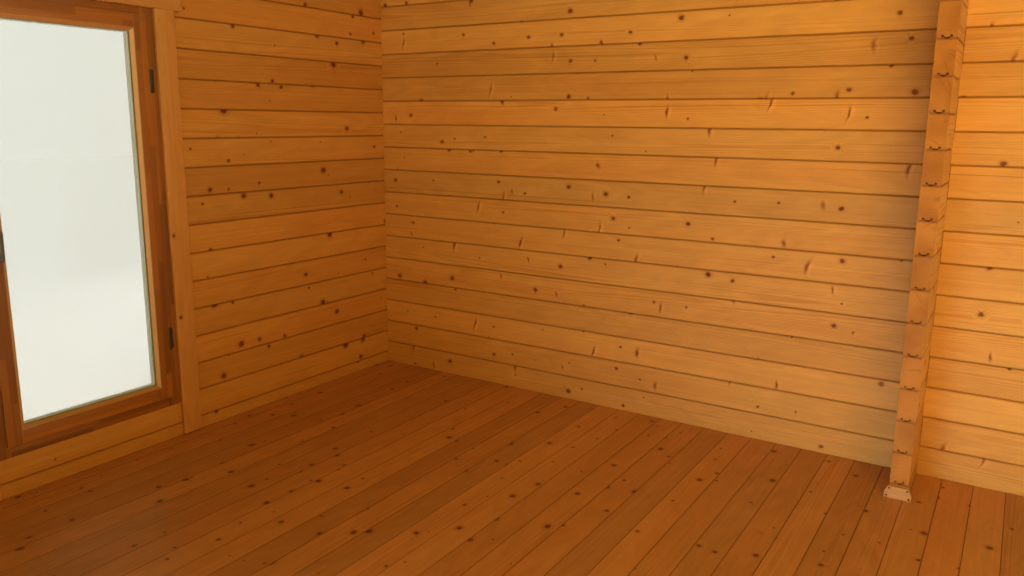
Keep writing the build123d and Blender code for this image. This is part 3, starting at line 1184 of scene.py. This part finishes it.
def makeHinges(look):
    low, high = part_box("window_hinges")
    axisX = high[0] - look["axisIn"]
    axisY = low[1] + look["axisIn"]
    face = low[0] + look["leafThick"]
    side = axisY + look["leaf"]
    length, short = look["length"], look["leafShort"]
    tall = length / look["knuckles"]
    parts = []
    for bottom in (low[2], high[2] - length):
        for i in range(look["knuckles"]):
            knuckle = addRod("knuckle", (axisX, axisY, bottom + tall * (i + 0.5)),
                             look["radius"], tall - look["knuckleGap"], "Z", 24)
            bevelEdges(knuckle, look["knuckleEdge"], 2, runsAcross(2))
            parts.append(knuckle)
        parts.append(addRod("pin", (axisX, axisY, bottom + length / 2), look["pinRadius"],
                            length - 2 * look["pinShort"], "Z", 16))
        leaf = addBox("leaf", (low[0], axisY, bottom + short),
                      (face, side, bottom + length - short))
        bevelEdges(leaf, look["leafRound"], 4, runsAlong(0), lieAt(1, side))
        parts.append(leaf)
        for up in look["screwsUp"]:
            spot = (face, axisY + look["screwsAside"], bottom + up)
            parts.append(makeScrew(spot, look["screwRadius"]))
    return smooth(joinAll(parts, "hinge_pair"))


place(makeHinges(hingeLook), "fitting_metal", metals["hingeMetal"], "window_hinges")
print("handle and hinges made")


# foot block
footLow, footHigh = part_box("stub_foot_block")
footLook = dict(woodBase, light=(0.60, 0.27, 0.066), dark=(0.42, 0.15, 0.028), knotShare=0.0,
                screws=((0.041, 0.009), (0.0335, 0.041)),  # off the middle, and up
                screwRadius=0.0044, screwDeep=0.0045, luck=(0.31, 0.62, 0.18))


def footPaint(look):
    paint = Paint("footBlockWood")
    x, y, z = paint.split(paint.coords())
    colour, roughness, height = wood(paint, x, z - footLow[2], y - footLow[1], faceTo(paint, 0),
                                     look["luck"], look)
    return paint.finish(colour, roughness, height, look["grainDepth"])


def makeFootScrews(look):
    # dark heads, set deep in the block's holes; their near black is painted shade of the holes
    middleX = (footLow[0] + footHigh[0]) / 2
    heads = []
    for side, up in look["screws"]:
        for x in (middleX - side, middleX + side):
            head = makeScrew((0, 0, 0), look["screwRadius"])
            spot = (x, footLow[1] + look["screwDeep"], footLow[2] + up)
            head.data.transform(Matrix.Translation(spot) @ Matrix.Rotation(-math.pi / 2, 4, "Z"))
            heads.append(head)
    return smooth(joinAll(heads, "foot_screws"))


finishNodes(["stub_foot_block"], footPaint(footLook))
place(makeFootScrews(footLook), "fitting_metal", metals["holeShadeScrewMetal"])
print("foot block screwed on")


# stage and light
stageLook = {
    "floorSize": 60.0,
    "floorDrop": 0.001,
    "paper": (0.78, 0.82, 0.84),
    "paperRoughness": 0.9,
    "backdrop": (0.90, 0.92, 0.88),
    "sky": (1.0, 0.72, 0.30),
    "skyStrength": 0.17,
    # name, place, aim, size, power in watts, colour and spread in degrees
    "lights": [
        ("softKey", (2.6, -2.1, 2.45), (1.0, 1.2, 1.4), (2.8, 1.8), 107.0, (1.0, 0.79, 0.22), 180),
        ("topGlow", (0.3, -0.2, 2.9), (0.0, 1.2, 2.0), (1.0, 0.6), 1.0, (1.0, 0.80, 0.34), 120),
        ("coolFill", (0.2, -3.9, 0.45), (1.7, 1.2, 0.1), (2.6, 0.8), 11.0, (0.50, 0.76, 1.0), 42),
        ("softBack", (-6.0, 5.6, 1.2), (-1.2, 1.0, 1.1), (3.2, 1.6), 85.0, (1.0, 0.96, 0.88), 90),
    ],
    # panels that light the paper round the building from above: low and high X and Y
    "panels": [(-34, -2.13, -34, 34), (-2.13, 34, 1.7, 34), (2.28, 34, -34, 1.7),
               (-2.13, 2.28, -34, -1.85)],
    "panelHeight": 2.9,
    "panelPower": 3.3,         # watts for each square metre
    "panelColour": (0.96, 0.98, 0.97),
    "panelSpread": 16,
}


def makeLight(name, spot, aim, size, power, colour, spread):
    data = bpy.data.lights.new(name, "AREA")
    data.shape = "RECTANGLE"
    data.size, data.size_y = size
    data.energy = power
    data.color = colour
    data.spread = math.radians(spread)
    light = bpy.data.objects.new(name, data)
    scene.collection.objects.link(light)
    light.location = spot
    light.rotation_euler = (Vector(aim) - Vector(spot)).to_track_quat("-Z", "Y").to_euler()
    light.visible_camera = False


def makePaper(look):
    paint = Paint("stagePaper")
    speck = paint.noise(paint.coords(), 3.0)
    paper = paint.finish(paint.tint(look["paper"], 0.97 + speck * 0.06), look["paperRoughness"])
    deselectAll()
    bpy.ops.mesh.primitive_plane_add(size=look["floorSize"], location=(0, 0, -look["floorDrop"]))
    ground = settle("stage_floor")
    ground.data.materials.append(paper)


def makeAir(look):
    # the backdrop looks paler than the light that it gives
    scene.world = bpy.data.worlds.new("studioAir")
    scene.world.use_nodes = True
    tree = scene.world.node_tree
    light = tree.nodes["Background"]
    light.inputs["Color"].default_value = (*look["sky"], 1.0)
    light.inputs["Strength"].default_value = look["skyStrength"]
    backdrop = tree.nodes.new("ShaderNodeBackground")
    backdrop.inputs["Color"].default_value = (*look["backdrop"], 1.0)
    seen = tree.nodes.new("ShaderNodeLightPath")
    both = tree.nodes.new("ShaderNodeMixShader")
    tree.links.new(seen.outputs["Is Camera Ray"], both.inputs[0])
    tree.links.new(light.outputs[0], both.inputs[1])
    tree.links.new(backdrop.outputs[0], both.inputs[2])
    tree.links.new(both.outputs[0], tree.nodes["World Output"].inputs[0])


def makeLights(look):
    for name, *facts in look["lights"]:
        makeLight(name, *facts)
    for i, (x0, x1, y0, y1) in enumerate(look["panels"]):
        x, y, wide, deep = (x0 + x1) / 2, (y0 + y1) / 2, x1 - x0, y1 - y0
        makeLight("panel%d" % i, (x, y, look["panelHeight"]), (x, y, 0.0), (wide, deep),
                  look["panelPower"] * wide * deep, look["panelColour"], look["panelSpread"])


makePaper(stageLook)
makeAir(stageLook)
makeLights(stageLook)
scene.view_settings.view_transform = "Standard"
print("stage and light set")
